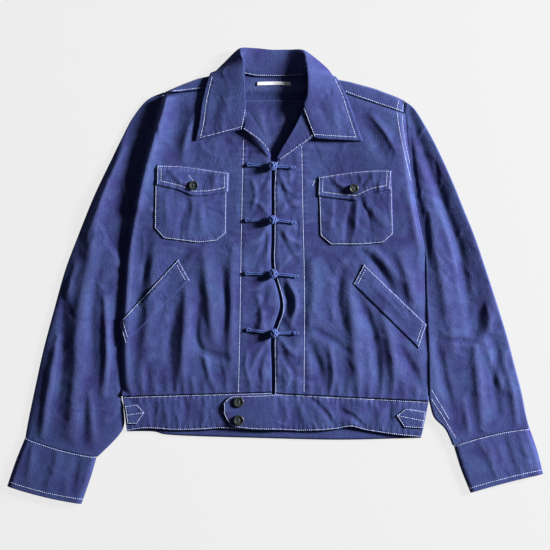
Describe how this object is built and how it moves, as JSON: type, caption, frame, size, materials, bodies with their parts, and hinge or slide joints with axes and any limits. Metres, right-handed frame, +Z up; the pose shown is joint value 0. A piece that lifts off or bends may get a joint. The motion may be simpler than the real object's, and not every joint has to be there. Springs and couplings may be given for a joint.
{
  "type": "work jacket laid flat",
  "caption": "Short unlined cotton work jacket laid flat, front up: turn-down collar, frog fastenings, buttoned chest flaps, slanted welts, cuffs and a tabbed waistband.",
  "frame": {"origin": "centre of the jacket's plan box, on the surface it lies on", "axes": "+X across the jacket to the viewer's right, +Y from hem to collar, +Z up off the surface, out of the front"},
  "size_m": [0.855, 0.7289, 0.0238],
  "materials": {
    "cotton": "matt faded indigo cotton twill",
    "cord": "twisted cotton cord, soft sheen",
    "button": "dark four-hole buttons, polished rim",
    "label_tape": "plain white woven tape"
  },
  "bodies": {
    "root": {"back": "cotton", "button_pocket_left": "button", "button_pocket_right": "button", "button_waist_lower": "button", "button_waist_upper": "button", "collar": "cotton", "cuff_left": "cotton", "cuff_right": "cotton", "facing_left": "cotton", "facing_right": "cotton", "flap_left": "cotton", "flap_right": "cotton", "frog_1_knot": "cord", "frog_1_loop": "cord", "frog_2_knot": "cord", "frog_2_loop": "cord", "frog_3_knot": "cord", "frog_3_loop": "cord", "frog_4_knot": "cord", "frog_4_loop": "cord", "front_left": "cotton", "front_right": "cotton", "neck_label": "label_tape", "pocket_left": "cotton", "pocket_right": "cotton", "sleeve_left": "cotton", "sleeve_right": "cotton", "tab_left": "cotton", "tab_right": "cotton", "waistband_back": "cotton", "waistband_left": "cotton", "waistband_right": "cotton", "welt_left": "cotton", "welt_right": "cotton", "yoke": "cotton"}
  },
  "joints": []
}
